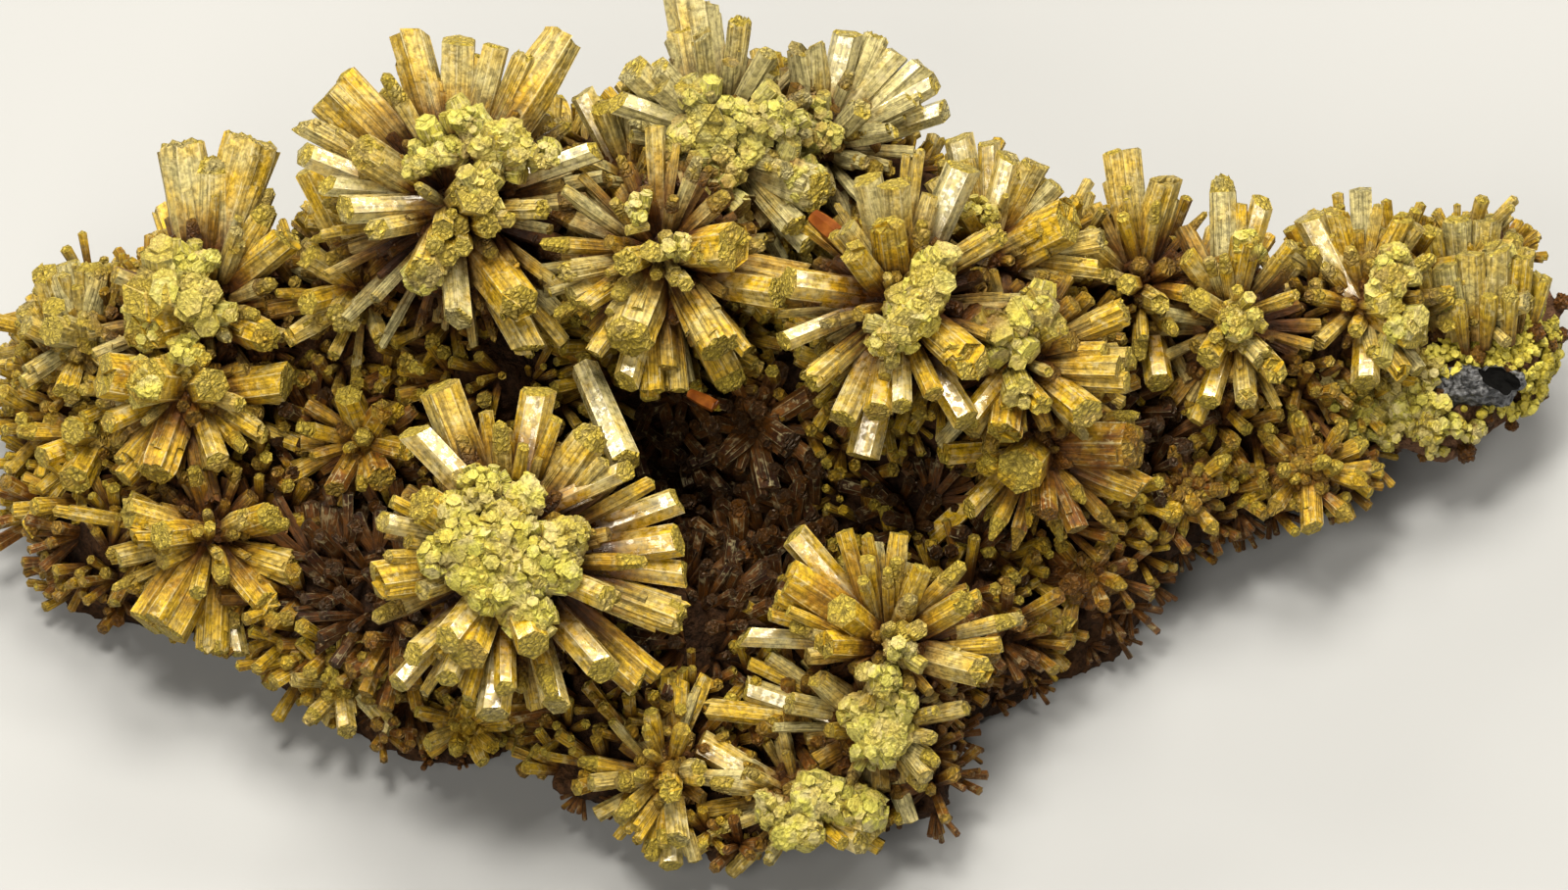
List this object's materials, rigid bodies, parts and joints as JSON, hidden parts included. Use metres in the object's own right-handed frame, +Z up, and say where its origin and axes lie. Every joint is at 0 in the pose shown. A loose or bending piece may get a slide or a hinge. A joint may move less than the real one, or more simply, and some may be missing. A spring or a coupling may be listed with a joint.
{
  "type": "pyromorphite crystal specimen",
  "caption": "Loose mineral specimen: a three-cornered piece of brown rock, flat underneath, covered with sprays of stout six-sided olive-brown crystals with yellow ends",
  "frame": {"origin": "the middle of the overall box, on the plane that the specimen rests on", "axes": "+X runs from the broad left end to the tip of the narrow arm, +Z is up off the flat underside, and the sprays are seen from the -Y side and from above"},
  "size_m": [0.1104, 0.0615, 0.0398],
  "materials": {
    "pyromorphite": "resinous, striated",
    "matrix": "rough"
  },
  "bodies": {
    "root": {"matrix": "matrix", "top_left_spray": "pyromorphite", "top_spray": "pyromorphite", "between_spray": "pyromorphite", "top_fan_spray": "pyromorphite", "upper_middle_spray": "pyromorphite", "right_middle_spray": "pyromorphite", "ridge_spray": "pyromorphite", "right_spray": "pyromorphite", "right_lower_spray": "pyromorphite", "arm_root_spray": "pyromorphite", "arm_spray": "pyromorphite", "arm_outer_spray": "pyromorphite", "arm_end_spray": "pyromorphite", "arm_under_spray": "pyromorphite", "arm_hem_spray": "pyromorphite", "right_hem_spray": "pyromorphite", "central_spray": "pyromorphite", "lower_right_spray": "pyromorphite", "lower_spray": "pyromorphite", "foot_spray": "pyromorphite", "foot_left_spray": "pyromorphite", "left_upper_spray": "pyromorphite", "left_middle_spray": "pyromorphite", "left_lower_spray": "pyromorphite", "far_left_spray": "pyromorphite", "far_left_lower_spray": "pyromorphite", "notch_upper_spray": "pyromorphite", "notch_spray": "pyromorphite", "left_hem_spray": "pyromorphite", "front_hem_spray": "pyromorphite", "recess_upper_spray": "pyromorphite", "recess_lower_spray": "pyromorphite", "back_left_spray": "pyromorphite", "back_shoulder_spray": "pyromorphite", "back_top_left_spray": "pyromorphite", "back_top_spray": "pyromorphite", "back_right_spray": "pyromorphite"}
  },
  "joints": []
}
